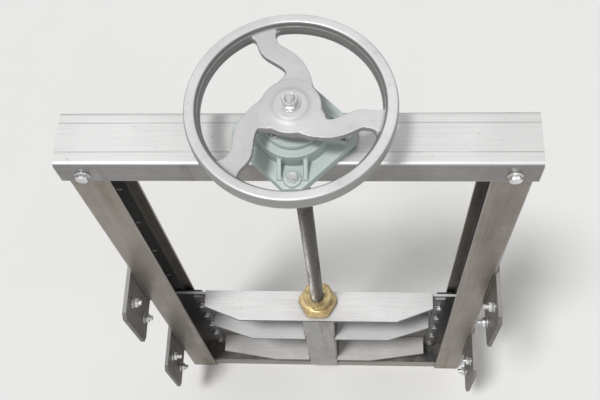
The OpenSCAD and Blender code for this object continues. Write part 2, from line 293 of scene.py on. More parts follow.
def folded_steel(name, side, top, grain, roughness, metallic, silt=0.5, marks=()):
    """Side and top are pairs of tones: for upright faces, with painted shade, and for faces that
    point up, with painted sunlight.
    Roughness is its lowest and highest value, and marks are the Y of scribed lines."""
    material, place, shader = blank(name)
    upward = facing_up(place)
    cloud = place.noise((2.6, 2.6, 1.5), 4.0)
    patch = cloud.between(0.30, 0.72)
    fine = place.noise(grain, 4.0, 0.65)
    mottle = place.noise((22.0, 22.0, 14.0), 4.0, 0.6).between(0.42, 0.68) * (1 - upward)
    streak = place.noise((26.0, 26.0, 1.9), 5.0, 0.6).between(0.52, 0.74)
    speck = place.noise(150.0, 2.0).between(0.69, 0.77)
    ragged = place.noise(7.0, 5.0, 0.7)
    tide = (place.part("Z") + 0.13 * ragged).between(0.34, 0.06) * silt
    tone = layered(
        # side tones on upright faces and top tones on faces that point up: painted shade and painted
        # sunlight
        upward.blend(patch.blend(*side), patch.blend(*top)),
        (mottle * 0.35, times(side[1], 1.25)),
        (fine.between(0.2, 0.8) * (0.36 - 0.2 * upward), times(side[0], 0.62)),
        (streak * (1 - upward) * 0.4, RUST_STREAK),
        (speck * 0.45, DARK_SPECK),
        (edges(place, 1.6) * 0.5, times(top[1], 1.35, most=0.72)),
        # painted shade deep in the corners between plates, broken up by noise
        (corners(place, 22) * ragged.between(0.3, 0.55) * 0.7, PAINTED_CORNER_SHADE),
        (tide * ragged.between(0.3, 0.62) * 0.8, SILT))
    relief = fine * 0.5 + cloud * 0.3 + 0.5 * tide * ragged
    for line in marks:
        scribed = abs(place.part("Y") - line * MM).between(1.2 * MM, 0.3 * MM) * upward
        scribed = scribed * place.noise(5.0).between(0.38, 0.56)
        tone = (scribed * 0.5).blend(tone, times(side[0], 0.35))
        relief = relief - 0.7 * scribed
    low, high = roughness
    wire_in(shader, base_color=tone,
            roughness=low + (high - low) * fine + 0.12 * streak + 0.3 * tide + 0.12 * upward,
            metallic=metallic * (1 - 0.85 * tide) * (1 - 0.4 * upward),
            normal=bumped(place, relief, depth=0.12, radius=1.0))
    return material


print("silt tone:", SILT)


# %% [markdown]
# ## The steel finishes
# One recipe serves every steel part, and each part gets its own tones and grain. The posts are
# warm and satin, the beam's top has painted sunlight that makes it almost white and has two
# scribed lines, and the leaf is dark with painted shade on its upright faces and pale with painted
# sunlight on its ribs. The stem box was brushed, and weld metal is dark and rough.

# %% Steel finishes
LENGTHWAYS, UPRIGHT = (6.0, 300.0, 300.0), (300.0, 300.0, 6.0)
BRUSHED = ((0.23, 0.225, 0.225), (0.37, 0.36, 0.355))
finishes = {
    "post_steel": folded_steel(
        "satin_post_steel", ((0.215, 0.19, 0.168), (0.34, 0.305, 0.27)), BRUSHED,
        UPRIGHT, roughness=(0.32, 0.50), metallic=0.8),
    "beam_steel": folded_steel(
        "satin_beam_steel", ((0.19, 0.183, 0.18), (0.33, 0.32, 0.315)),
        ((0.63, 0.625, 0.62), (0.77, 0.765, 0.76)),
        LENGTHWAYS, roughness=(0.28, 0.46), metallic=0.8, silt=0.0, marks=(27.5, -24)),
    "sill_steel": folded_steel(
        "silted_sill_steel", BRUSHED, BRUSHED,
        LENGTHWAYS, roughness=(0.45, 0.65), metallic=0.6, silt=1.0),
    "leaf_steel": folded_steel(
        "welded_leaf_steel", ((0.112, 0.11, 0.113), (0.20, 0.197, 0.20)),
        ((0.60, 0.595, 0.59), (0.74, 0.735, 0.73)),
        (9.0, 170.0, 170.0), roughness=(0.32, 0.5), metallic=0.75, silt=0.6),
    "bracket_steel": folded_steel(
        "dark_bracket_steel", ((0.12, 0.115, 0.105), (0.20, 0.19, 0.178)), BRUSHED,
        (60.0, 60.0, 60.0), roughness=(0.42, 0.6), metallic=0.65, silt=0.35),
}
box_finish = folded_steel(
    "brushed_box_steel", ((0.30, 0.295, 0.29), (0.46, 0.455, 0.45)), BRUSHED,
    (340.0, 340.0, 5.0), roughness=(0.26, 0.42), metallic=0.85, silt=0.4)
weld_finish = folded_steel(
    "weld_metal", ((0.12, 0.105, 0.095), (0.24, 0.22, 0.20)),
    ((0.16, 0.145, 0.13), (0.30, 0.28, 0.26)),
    (90.0, 90.0, 90.0), roughness=(0.38, 0.6), metallic=0.7, silt=0.4)
print("folded steel:", sorted(finishes))


# %% [markdown]
# ## Cast iron
# A sand casting is never quite smooth: it has fine pits and soft lumps, and is rubbed brighter
# where hands hold it. The wheel is palest on its rim. Its upright faces, the step inside the rim
# and its hollows get painted shade. A painted map could hold the worn places and hollows, but
# Blender's pointiness, how far a mesh bends at a point, finds them on any shape.

# %% Cast iron
LEDGE_IN, RIM_IN = 134.5, 139.5


def cast_iron(name):
    material, place, shader = blank(name)
    sand = place.noise(420.0, 4.0, 0.7)
    lump = place.noise(34.0, 3.0)
    cloud = place.noise(9.0, 4.0).between(0.3, 0.7)
    smudge = place.noise(48.0, 5.0, 0.7).between(0.5, 0.72)
    pit = place.noise(240.0, 2.0).between(0.70, 0.78)
    bend = place.surface("Pointiness")
    # worn marks outer bends that are rubbed; hollow marks inner bends, which take painted shade
    worn, hollow = bend.between(0.52, 0.57), bend.between(0.495, 0.45)
    upward, radius = facing_up(place), place.from_axis()
    rim = radius.between((RIM_IN - 1.5) * MM, (RIM_IN + 1.5) * MM)
    # step is the upright inner face between ledge and rim, which takes painted shade
    step = (radius.between((LEDGE_IN - 1) * MM, (LEDGE_IN + 0.5) * MM)
            * radius.between((RIM_IN + 2.5) * MM, (RIM_IN + 1) * MM) * (1 - upward))
    tone = layered(
        cloud.blend((0.54, 0.542, 0.537), (0.66, 0.662, 0.656)),
        (rim, cloud.blend((0.62, 0.622, 0.615), (0.74, 0.742, 0.735))),
        # painted shade on upright faces
        ((1 - upward) * 0.85, (0.21, 0.207, 0.204)),
        (smudge * 0.28, (0.37, 0.362, 0.35)),
        (sand.between(0.45, 0.8) * 0.22, (0.38, 0.38, 0.375)),
        (pit * 0.3, (0.22, 0.215, 0.21)),
        (worn * 0.4, (0.74, 0.742, 0.735)),
        # painted shade in the step inside the rim and in the hollows
        (step * 0.6, (0.14, 0.138, 0.134)),
        (hollow * 0.75, (0.13, 0.126, 0.12)))
    wire_in(shader, base_color=tone,
            roughness=0.38 + 0.2 * sand - 0.1 * rim + 0.2 * hollow,
            metallic=0.15 + 0.25 * worn,
            normal=bumped(place, sand * 0.6 + lump * 0.9 - 0.4 * pit, depth=0.25, radius=0.6))
    return material


finishes["wheel_iron"] = cast_iron("sand_cast_iron")
print("wheel:", finishes["wheel_iron"].name)


# %% [markdown]
# ## Chipped paint
# The bearing housing has thick pale green paint over the same kind of casting. It chips where a
# corner is knocked, so the chips are a coarse noise that comes through only where the surface
# bends. Dust lies on what faces up, and the upright faces and the hollows between the fins get
# painted shade.

# %% Chipped paint
def chipped_paint(name):
    material, place, shader = blank(name)
    sand = place.noise(260.0, 4.0, 0.65)
    cloud = place.noise(14.0, 4.0)
    bend = place.surface("Pointiness")
    # worn marks outer bends that are rubbed; hollow marks inner bends, which take painted shade
    worn, hollow = bend.between(0.53, 0.62), bend.between(0.47, 0.41)
    upward = facing_up(place)
    chip = (worn * 0.36 + place.noise(110.0, 5.0, 0.75)).between(0.80, 0.86)
    dust = upward * place.noise(60.0, 5.0, 0.7).between(0.4, 0.75)
    tone = layered(
        cloud.between(0.3, 0.7).blend((0.49, 0.565, 0.535), (0.61, 0.68, 0.652)),
        # painted shade on upright faces
        ((1 - upward) * 0.6, (0.21, 0.28, 0.255)),
        (dust * 0.35, (0.62, 0.64, 0.60)),
        (worn * 0.3, (0.64, 0.71, 0.68)),
        # painted shade in the hollows between the fins
        (hollow * 0.7, (0.11, 0.125, 0.11)),
        (chip, (0.16, 0.12, 0.09)))
    wire_in(shader, base_color=tone,
            roughness=0.34 + 0.2 * sand + 0.22 * chip + 0.15 * dust,
            normal=bumped(place, sand * 0.5 + cloud * 0.5 - 1.1 * chip, depth=0.25, radius=0.6))
    return material


finishes["housing_paint"] = chipped_paint("chipped_green_paint")
print("housing:", finishes["housing_paint"].name)


# %% [markdown]
# ## Brass, bronze and zinc
# These parts were turned or plated, so their grain is slight and their stains are soft. Turning
# leaves fine rings, which are noise squeezed along the axis. One recipe with four tones is
# enough, because the metals differ in colour and not in how they age.

# %% Turned metal
def turned_metal(name, dark, light, roughness, metallic, stain, stained):
    material, place, shader = blank(name)
    tool = place.noise((18.0, 18.0, 1040.0), 2.0)
    cloud = place.noise(22.0, 5.0, 0.6)
    spot = (place.noise(70.0, 4.0, 0.7) + 0.25 * cloud).between(0.64, 0.82)
    tone = layered(
        cloud.between(0.3, 0.7).blend(dark, light),
        (spot * stained, stain),
        (edges(place, 0.7) * 0.35, times(light, 1.35, most=0.9)))
    wire_in(shader, base_color=tone,
            roughness=roughness + 0.14 * tool + 0.2 * spot,
            metallic=metallic * (1 - 0.4 * spot),
            normal=bumped(place, tool + spot * 0.4, depth=0.06, radius=0.4))
    return material


finishes["nut_brass"] = turned_metal(
    "dulled_brass", (0.34, 0.255, 0.125), (0.63, 0.50, 0.27),
    roughness=0.28, metallic=0.88, stain=(0.12, 0.09, 0.05), stained=0.65)
finishes["bush_bronze"] = turned_metal(
    "bearing_bronze", (0.38, 0.24, 0.11), (0.52, 0.35, 0.17),
    roughness=0.3, metallic=0.9, stain=(0.10, 0.07, 0.04), stained=0.5)
finishes["bright_zinc"] = turned_metal(
    "bright_zinc_plate", (0.56, 0.565, 0.57), (0.76, 0.765, 0.76),
    roughness=0.25, metallic=0.95, stain=(0.30, 0.26, 0.20), stained=0.3)
print("turned:", [finishes[slot].name for slot in ("nut_brass", "bush_bronze", "bright_zinc")])


# %% [markdown]
# ## The screw's finish
# The screw is brighter on its crests, where the nut rubs, and holds old grease in its groove:
# the distance from its axis tells the two apart. Its upper end, above the shoulder inside the
# wheel, is bare bright steel.

# %% Screw steel
THREAD_ROOT, THREAD_CREST = 11.6, 15.0
stem_low, stem_high = levels("stem")
bare_from = stem_high - 30


def screw_steel(name):
    material, place, shader = blank(name)
    crest = place.from_axis().between((THREAD_CREST - 1.8) * MM, (THREAD_CREST - 0.2) * MM)
    smear = place.noise((40.0, 40.0, 12.0), 4.0, 0.6).between(0.45, 0.7)
    tool = place.noise((18.0, 18.0, 1000.0), 2.0)
    end = place.part("Z").between((bare_from - 3) * MM, (bare_from + 3) * MM)
    tone = layered(
        crest.blend((0.04, 0.036, 0.032), (0.15, 0.142, 0.134)),
        (smear * 0.55, (0.05, 0.04, 0.03)),
        (end, (0.56, 0.555, 0.545)))
    wire_in(shader, base_color=tone,
            roughness=0.22 + 0.14 * tool + 0.25 * smear,
            metallic=0.9 - 0.35 * smear,
            normal=bumped(place, tool, depth=0.05, radius=0.3))
    return material


finishes["stem_steel"] = screw_steel("greased_screw_steel")
print("screw:", finishes["stem_steel"].name, "bare above", round(bare_from))


# %% [markdown]
# ## Rubber and plastic
# The seals are black rubber and the guide strips dark plastic. They differ only in tone and
# grain, so they share one recipe. Silt dulls both low down, as it does the steel.

# %% Rubber and plastic
def soft_plain(name, dark, light, grain, roughness):
    material, place, shader = blank(name)
    sand = place.noise(grain, 4.0, 0.7)
    cloud = place.noise((9.0, 9.0, 3.0), 4.0)
    wash = place.noise((16.0, 16.0, 9.0), 5.0, 0.6)
    silt = (place.part("Z") + 0.25 * cloud).between(0.42, 0.10) * wash.between(0.35, 0.7)
    tone = layered(cloud.between(0.35, 0.65).blend(dark, light), (silt * 0.55, SILT))
    wire_in(shader, base_color=tone, roughness=roughness + 0.15 * sand + 0.2 * silt,
            normal=bumped(place, 0.4 * sand + cloud, depth=0.12, radius=0.6))
    return material


finishes["seal_rubber"] = soft_plain(
    "moulded_rubber", (0.018, 0.018, 0.018), (0.04, 0.04, 0.04), grain=300.0, roughness=0.55)
finishes["guide_plastic"] = soft_plain(
    "slide_plastic", (0.035, 0.035, 0.036), (0.07, 0.07, 0.07), grain=180.0, roughness=0.4)
print("soft:", [finishes[slot].name for slot in ("seal_rubber", "guide_plastic")])


# %% [markdown]
# ## Finishes on the CAD parts
# The folded plates have their true shape in the CAD model, so they stay as they are and only
# take a finish. The record says which slot each part belongs to. The stem box shares the leaf's
# slot but was brushed, so it gets its own variant.

# %% Dress the CAD parts
for row in frame["record"]["subparts"]:
    node = frame["nodes"][row["node"]]
    node.data.materials.clear()
    node.data.materials.append(
        box_finish if row["node"] == "stem_box" else finishes[row["material_slot"]])


# %% [markdown]
# ## Building with rings
# Almost every small part of a machine is round or six-sided about an axis: a nut, a washer, a
# stud, a screw head. A lathe modifier would do the round ones only. Here a part is a stack of
# rings, and each ring's radius is either a number or a function of the angle, so one helper
# makes round and hexagonal shapes alike.

# %% Ring helpers
rng = random.Random(20)


def stack(bm, rings, steps=36, place=None, hollow=False):
    """Joins rings of (height, radius) round Z. A hollow stack joins its last to its first."""
    place = place or Matrix.Identity(4)
    made = []
    for height, radius in rings:
        ring = []
        for i in range(steps):
            angle = math.tau * i / steps
            r = radius(angle) if callable(radius) else radius
            point = Vector((r * math.cos(angle), r * math.sin(angle), height)) * MM
            ring.append(bm.verts.new(place @ point))
        made.append(ring)
    for low, high in zip(made, made[1:] + made[:1] if hollow else made[1:]):
        for i in range(steps):
            j = (i + 1) % steps
            bm.faces.new((low[i], low[j], high[j], high[i]))
    if not hollow:
        bm.faces.new(made[0][::-1])
        bm.faces.new(made[-1])


def hexagon(across, limit=1e9):
    """Radius of a hexagon with flats this far across, cut off by a circle of radius limit."""
    def radius(angle):
        within = (angle + math.pi / 6) % (math.pi / 3) - math.pi / 6
        return min(across / 2 / math.cos(within), limit)
    return radius


def seat(point, axis, spin=0.0):
    """Place on a surface: the point, with +Z along axis, turned by spin degrees."""
    tilt = UP.rotation_difference(Vector(axis)).to_matrix().to_4x4()
    spun = Matrix.Rotation(math.radians(spin), 4, "Z")
    return Matrix.Translation(Vector(point) * MM) @ tilt @ spun


print("a 22 mm hexagon reaches", round(hexagon(22)(math.pi / 6), 2), "at its corners")


# %% [markdown]
# ## Finishing a piece
# Every piece ends the same way: its mesh is smoothed up to an angle, it takes the finish of its
# slot, and it is told which body it rides on, so that it moves with the gate. A piece that is
# drawn better than a CAD part hides that part.

# %% Finish a piece
def finished(name, bm, body, slot, sharp=35, finish=None, instead_of=None):
    """Turns a bmesh into a piece on a body, with its slot's finish or a variant of it."""
    bmesh.ops.recalc_face_normals(bm, faces=bm.faces)
    mesh = bpy.data.meshes.new(name)
    bm.to_mesh(mesh)
    bm.free()
    mesh.polygons.foreach_set("use_smooth", [True] * len(mesh.polygons))
    mesh.set_sharp_from_angle(angle=math.radians(sharp))
    mesh.materials.append(finish or finishes[slot])
    piece = bpy.data.objects.new(name, mesh)
    bpy.context.scene.collection.objects.link(piece)
    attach(piece, body)
    if instead_of:
        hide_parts(instead_of)
    print(name, "on", body, len(mesh.polygons), "faces")


# %% [markdown]
# ## Castings with soft corners
# The handwheel and the bearing housing were cast in sand, so no edge on them is sharp. Bevelling
# each edge of a trimmed mesh often fails. Instead, a copy of the CAD shape is remeshed into
# small even cells and relaxed a little, which rounds outer corners and fills inner ones at once.

# %% Castings
def cast_copy(name, node, body, slot, cell, rounds, add=None):
    """Remeshes a copy of a node. The function add may put more closed shells in first."""
    bm = bmesh.new()
    bm.from_mesh(frame["nodes"][node].data)
    bmesh.ops.remove_doubles(bm, verts=bm.verts, dist=1e-6)
    if add:
        add(bm)
        bmesh.ops.recalc_face_normals(bm, faces=bm.faces)
    pattern = bpy.data.meshes.new(name + "_pattern")
    bm.to_mesh(pattern)
    bm.free()
    pattern_piece = bpy.data.objects.new(name + "_pattern", pattern)
    bpy.context.scene.collection.objects.link(pattern_piece)
    cells = pattern_piece.modifiers.new("cells", "REMESH")
    cells.mode, cells.voxel_size = "VOXEL", cell * MM
    relax = pattern_piece.modifiers.new("relax", "SMOOTH")
    relax.factor, relax.iterations = 0.5, rounds
    graph = bpy.context.evaluated_depsgraph_get()
    mesh = bpy.data.meshes.new_from_object(pattern_piece.evaluated_get(graph))
    bpy.data.objects.remove(pattern_piece)
    bm = bmesh.new()
    bm.from_mesh(mesh)
    finished(name, bm, body, slot, sharp=180, instead_of=node)


cast_copy("cast_bearing_housing", "bearing_housing", "frame", "housing_paint",
          cell=1.2, rounds=4)


# %% [markdown]
# ## Extra iron for the handwheel
# Seen from above, the wheel is one smooth casting: each of its three arms flows into rim and hub
# through a web. The webs are added as closed shells, and the remesh melts them into the copy.
# Rays cast down find the arms' edges, and each web fills the corner between an arm and a ring,
# along a curve that starts on the ring and ends on the arm.

# %% Handwheel webs
rim_low, rim_high = levels("handwheel")
ARM_LOW, ARM_HIGH = rim_low + 5, rim_low + 16
ONTO, OFF = 1, -1
RAYS, SUNK = 1440, 3


def polar(radius, angle):
    return Vector((radius * math.cos(angle), radius * math.sin(angle)))


def arm_edges(tree, radius):
    """Where a circle crosses the arms' edges: (angle, ONTO an arm or OFF it), anticlockwise."""
    on = []
    for i in range(RAYS):
        start = Vector((*polar(radius, math.tau * i / RAYS), rim_high + 10)) * MM
        on.append(tree.ray_cast(start, -UP)[0] is not None)
    return [(math.tau * (i - 0.5) / RAYS, ONTO if on[i] else OFF)
            for i in range(RAYS) if on[i] != on[i - 1]]


def webs(bm, tree, ring, way, reach):
    """Fills the corners between the arms and a ring, which the arms leave outwards if way is 1.
    Reach gives the size of a web at each kind of edge. SUNK is how far it goes into the iron."""
    for angle, kind in arm_edges(tree, ring):
        size = reach[kind]
        beyond = ring + way * size
        far = min((a for a, k in arm_edges(tree, beyond) if k == kind),
                  key=lambda a: abs(math.remainder(a - angle, math.tau)))
        turn = size / ring
        start, corner, end = (polar(ring, angle - kind * turn), polar(ring, angle),
                              polar(beyond, far))
        outline = [start * (1 - t) ** 2 + corner * 2 * t * (1 - t) + end * t * t
                   for t in (k / 6 for k in range(7))]
        outline += [polar(beyond, far + kind * SUNK / beyond),
                    polar(ring - way * SUNK, angle + kind * SUNK / ring),
                    polar(ring - way * SUNK, angle - kind * turn)]
        low, high = ([bm.verts.new(Vector((*point, z)) * MM) for point in outline]
                     for z in (ARM_LOW, ARM_HIGH))
        bm.faces.new(low)
        bm.faces.new(high)
        for i in range(len(outline)):
            bm.faces.new((low[i - 1], low[i], high[i], high[i - 1]))


print("wheel from", round(rim_low), "to", round(rim_high), "arms to", round(ARM_HIGH))


# %% [markdown]
# ## The handwheel
# The rim is a squarer bar than the CAD model's, with a narrow ledge inside it, and the hub rises
# in a low dome. These are rings too, laid over the CAD shape, so that the remesh takes the outer
# form of both.

# %% Handwheel
RIM_OUT, LEDGE_OUT, HUB_EDGE = 157.2, 141, 46.0
HUB_TOP = rim_high - 3


def bar_section(low, high, inner, outer, corner):
    """Section of a bent bar with round corners, as (height, radius) points in order."""
    centres = ((low + corner, outer - corner), (high - corner, outer - corner),
               (high - corner, inner + corner), (low + corner, inner + corner))
    section = []
    for k, (z, r) in enumerate(centres):
        for turn in (0, 22.5, 45, 67.5, 90):
            angle = math.radians(90 * k + turn)
            section.append((z - corner * math.cos(angle), r + corner * math.sin(angle)))
    return section


def wheel_iron(bm):
    tree = BVHTree.FromBMesh(bm)
    webs(bm, tree, LEDGE_IN, -1, {ONTO: 10, OFF: 4.5})
    webs(bm, tree, HUB_EDGE, 1, {ONTO: 14, OFF: 14})
    rim = bar_section(rim_low, rim_high, RIM_IN, RIM_OUT, corner=4.5)
    ledge = bar_section(ARM_LOW - 1.5, ARM_HIGH - 0.5, LEDGE_IN, LEDGE_OUT, corner=1.5)
    dome = [(HUB_TOP - 9, 16), (HUB_TOP - 9, 40), (HUB_TOP - 5.7, 40), (HUB_TOP - 4.7, 33),
            (HUB_TOP - 2.7, 28), (HUB_TOP - 0.7, 25), (HUB_TOP - 0.2, 22.5), (HUB_TOP - 0.4, 16)]
    stack(bm, rim, 180, hollow=True)
    stack(bm, ledge, 180, hollow=True)
    stack(bm, dome, 90, hollow=True)


cast_copy("cast_handwheel", "handwheel", "spindle", "wheel_iron",
          cell=1.3, rounds=6, add=wheel_iron)


# %% [markdown]
# ## A helper for threads
# A real thread catches the light along every turn, which a bump map can't do at the outline. It
# is a helix: a small profile, swept round and up. Each turn shares its last line of points with
# the first line of the turn above, so the surface closes on itself.

# %% Thread helper
def thread(bm, profile, lead, low, high, steps, hand=1, place=None):
    """Sweeps a profile up a helix from low to high. Its points are (share of the lead, radius),
    and the shares go from 0 to below 1. A hand of -1 makes it left-handed."""
    place = place or Matrix.Identity(4)
    turns = (high - low) / lead - 1
    count = int(turns * steps)
    columns = len(profile)

    def vertex(i, share, radius):
        angle = hand * math.tau * i / steps
        height = low + (i / steps + share) * lead
        point = Vector((radius * math.cos(angle), radius * math.sin(angle), height)) * MM
        return bm.verts.new(place @ point)

    grid = [[vertex(i, *point) for point in profile] for i in range(count + 1)]
    above_last = [vertex(i, *profile[0]) for i in range(count + 1, count + 1 + steps)]
    first = [row[0] for row in grid] + above_last

    def at(i, k):
        return first[i + steps] if k == columns else grid[i][k]

    for i in range(count):
        for k in range(columns):
            bm.faces.new((at(i, k), at(i + 1, k), at(i + 1, k + 1), at(i, k + 1)))
    for i, end in ((0, low), (count, high)):
        hub = bm.verts.new(place @ (Vector((0, 0, end)) * MM))
        loop = [first[i + n] for n in range(steps + 1)]
        loop += [at(i, k) for k in range(columns - 1, 0, -1)]
        for a, b in zip(loop, loop[1:] + loop[:1]):
            bm.faces.new((hub, a, b))


print("thread helper ready")


# %% [markdown]
# ## The screw
# The stem is a trapezoidal screw of 30 mm with a 6 mm lead, cut left-handed so that turning the
# wheel as for a tap opens the gate. Above the thread it is plain, with a shoulder that carries
# the wheel, and it ends in a stud for the hub nut.

# %% Threaded stem
SCREW_PROFILE = [(0.0, THREAD_ROOT), (0.36, THREAD_ROOT), (0.48, THREAD_CREST),
                 (0.88, THREAD_CREST)]
SCREW_LEAD = 6.0
beam_top = levels("headstock_beam")[1]
shoulder = HUB_TOP - 25
bm = bmesh.new()
stack(bm, [(stem_low, 10.4), (stem_low + 1.5, 11.9), (stem_low + 9, 11.9)], 40)
thread(bm, SCREW_PROFILE, SCREW_LEAD, stem_low + 5, beam_top - 8, 40, hand=-1)
stack(bm, [(beam_top - 14, 11.7), (beam_top - 13, THREAD_CREST), (shoulder, THREAD_CREST),
           (shoulder, 12.0), (HUB_TOP - 1, 12.0)], 48)
thread(bm, [(0.0, 5.8), (0.5, 7.0)], 2.0, HUB_TOP - 2, stem_high - 1.5, 24)
stack(bm, [(HUB_TOP - 2, 5.9), (stem_high - 1, 5.9), (stem_high - 0.01, 5.2)], 24)
finished("threaded_stem", bm, "spindle", "stem_steel", sharp=40, instead_of="stem")


# %% [markdown]
# ## The lifting nut
# The lifting nut is brass: a six-sided foot on the leaf, a waist, and a ring that was turned
# round the screw. On a lathe every corner is broken, so the profile has small steps where the
# CAD model has a sharp edge.

# %% Lifting nut
BORE = THREAD_CREST + 0.05
cap_low, nut_foot = levels("leaf_top_plate")
foot_low, foot_flats, foot_top = hexagon(82.6, 43.6), hexagon(82.6, 45), hexagon(79.6, 42.6)
nut_profile = [
    (-10, 23), (0, 23), (0, foot_low), (1.2, foot_flats), (13.2, foot_flats), (15, foot_top),
    (15, 29.5), (15.5, 28), (17.5, 27), (31.5, 27), (33.4, 27.8), (34, 29.2), (34, 31.2),
    (34.8, 32), (38.6, 32), (39.2, 31.3), (40.8, 31.3), (41.4, 32), (45.2, 32), (46, 31.2),
    (46, 16.6), (44.6, BORE), (-10, BORE)]
bm = bmesh.new()
stack(bm, nut_profile, 96, seat((0, 0, nut_foot), UP, 30), hollow=True)
finished("turned_lifting_nut", bm, "leaf", "nut_brass", instead_of="lifting_nut")


# %% [markdown]
# ## The gland and the hub nut
# The gland is the disc with a neck that closes the bearing, painted with the housing. The hub
# nut holds the wheel down, and a cone has cut back the corners of its hexagon at both ends. Both
# are hollow stacks of rings, like the lifting nut.

# %% Gland and hub nut
HUB_NUT_ACROSS = 22
gland_foot, gland_top = levels("bearing_gland")
barrel_top = levels("bearing_housing")[1]
gland_face = barrel_top + 10
bm = bmesh.new()
stack(bm, [(gland_foot, 35.5), (gland_foot + 0.5, 36), (barrel_top, 36), (barrel_top, 44.2),
           (barrel_top + 0.8, 45), (barrel_top + 8.6, 45), (gland_face, 43.6),
           (gland_face, 29.5), (barrel_top + 11, 27.2), (barrel_top + 13, 26),
           (gland_top - 1.5, 26), (gland_top, 24.5), (gland_top, 16.8),
           (gland_top - 1.6, BORE), (gland_foot, BORE)], 72, hollow=True)
finished("turned_gland", bm, "frame", "housing_paint", instead_of="bearing_gland")

nut_low, nut_high = levels("hub_nut")
flats, cone = hexagon(HUB_NUT_ACROSS), hexagon(HUB_NUT_ACROSS, 10.9)
bm = bmesh.new()
stack(bm, [(nut_low, cone), (nut_low + 1.6, flats), (nut_high - 1.6, flats), (nut_high, cone),
           (nut_high, 8), (nut_high - 0.8, 7.1), (nut_low, 7.1)],
      60, seat((0, 0, 0), UP, 30), hollow=True)
finished("chamfered_hub_nut", bm, "spindle", "bright_zinc", instead_of="hub_nut")


# %% [markdown]
# ## Nuts, washers and studs
# Bolts come in standard sizes, so one table gives the head, washer and pitch of each. A nut or a
# head is a hexagon whose corners a cone has cut back. The stack makes that from two hexagonal
# rings between two round ones. A stud end gets a real thread, since its ridges catch the light.

# %% Fastener helpers
Size = namedtuple("Size", "across head washer_across washer_thick pitch")
SIZES = {6: Size(10.0, 4.5, 12.0, 1.4, 1.0), 8: Size(13.0, 6.0, 16.0, 1.6, 1.25),
         10: Size(16.0, 6.4, 20.0, 2.0, 1.5), 12: Size(19.0, 8.5, 24.0, 2.5, 1.75)}


def washer(bm, size, place):
    """A washer with broken edges. Returns the place on top of it."""
    outer, thick = SIZES[size].washer_across / 2, SIZES[size].washer_thick
    hole = size / 2 + 0.2
    stack(bm, [(0, outer - 0.2), (0.3, outer), (thick - 0.3, outer), (thick, outer - 0.4),
               (thick, hole), (0, hole)], 36, place, hollow=True)
    return place @ Matrix.Translation((0, 0, thick * MM))


def hex_body(bm, size, place, height, dish=0.0):
    """A nut, or with a dish in its top a bolt head."""
    across = SIZES[size].across
    cut, full, slope = hexagon(across, across * 0.49), hexagon(across), 0.09 * across
    stack(bm, [(0, cut), (slope, full), (height - slope, full), (height, cut),
               (height - dish, across * 0.36)], 48, place)


def bolt_head(bm, size, place):
    """Washer and hexagon head."""
    hex_body(bm, size, washer(bm, size, place), SIZES[size].head, dish=0.3)


def stud_end(bm, size, place, proud):
    """Washer, nut and the threaded end of a stud that stands proud of the nut."""
    place = washer(bm, size, place)
    height = size * 0.85
    hex_body(bm, size, place, height)
    pitch = SIZES[size].pitch
    thread(bm, [(0.0, size * 0.43), (0.5, size * 0.5)], pitch,
           height - 1.5 * pitch, height + proud - 0.5, 20, place=place)
    stack(bm, [(0, size * 0.44), (height + proud - 0.4, size * 0.44),
               (height + proud, size * 0.36)], 20, place)


def cap_screw(bm, size, place):
    """Socket-head screw: a round head with a hexagon recess."""
    outer, height = SIZES[size].across / 2, SIZES[size].head
    socket = hexagon(size * 0.8)
    stack(bm, [(0, outer), (height - 0.6, outer), (height, outer - 0.6), (height, size * 0.5),
               (height, socket), (height - size * 0.5, socket)], 36, place)


print("bolt sizes:", list(SIZES))


# %% [markdown]
# ## Bolts of the bearing housing
# The housing stands on two bolts through the beam's web. Two shorter ones close its spare holes
# in front and behind, where the foot reaches past the beam. Four cap screws hold the gland. No
# two bolts stop at the same angle, so each is given a turn from the seeded draws.

# %% Housing bolts and gland screws
BOSS_RADIUS, BOSS_HEIGHT, BEAM_PLATE = 80, 21, 5
GLAND_SCREW_RADIUS = 36.5
DOWN = (0, 0, -1)


def any_turn():
    return rng.uniform(0, 60)


bm = bmesh.new()
for x in (-BOSS_RADIUS, BOSS_RADIUS):
    stud_end(bm, 12, seat((x, 0, beam_top + BOSS_HEIGHT), UP, any_turn()), proud=9)
    bolt_head(bm, 12, seat((x, 0, beam_top - BEAM_PLATE), DOWN, any_turn()))
for y in (-BOSS_RADIUS, BOSS_RADIUS):
    top = seat((0, y, beam_top + BOSS_HEIGHT), UP, any_turn())
    hex_body(bm, 10, top, SIZES[10].head, dish=0.3)
    stud_end(bm, 10, seat((0, y, beam_top), DOWN, any_turn()), proud=4)
finished("housing_bolts", bm, "frame", "bright_zinc")

bm = bmesh.new()
for degrees in range(45, 360, 90):
    angle = math.radians(degrees)
    point = (GLAND_SCREW_RADIUS * math.cos(angle), GLAND_SCREW_RADIUS * math.sin(angle), gland_face)
    cap_screw(bm, 6, seat(point, UP, any_turn()))
finished("gland_screws", bm, "frame", "bright_zinc")


# %% [markdown]
# ## Bolts of the side seals
# Down each side of the leaf a row of bolts clamps the rubber seal between the leaf and a bar.
# Their heads are in front, on the bar, and their nuts behind, on the seal.

# %% Side seal bolts
SEAL_NUT = 6.4
BOLT_LEVELS = range(64, 400, 80)
bar_low, bar_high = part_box("right_clamp_bar")
bolt_x = (bar_low.x + bar_high.x) / 2 / MM
seal_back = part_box("right_side_seal")[1].y / MM
bm = bmesh.new()
for side_x in (-1, 1):
    for z in BOLT_LEVELS:
        bolt_head(bm, 8, seat((side_x * bolt_x, bar_low.y / MM, z), (0, -1, 0), any_turn()))
        behind = washer(bm, 8, seat((side_x * bolt_x, seal_back, z), (0, 1, 0)))
        hex_body(bm, 8, behind, SEAL_NUT)
finished("side_seal_bolts", bm, "leaf", "bright_zinc")


# %% [markdown]
# ## Screws of the guide strips
# Plastic strips line the posts, and countersunk screws hold them, a little below the face so
# that the leaf doesn't rub on them. Each screw is a shallow cone with a hexagon socket.

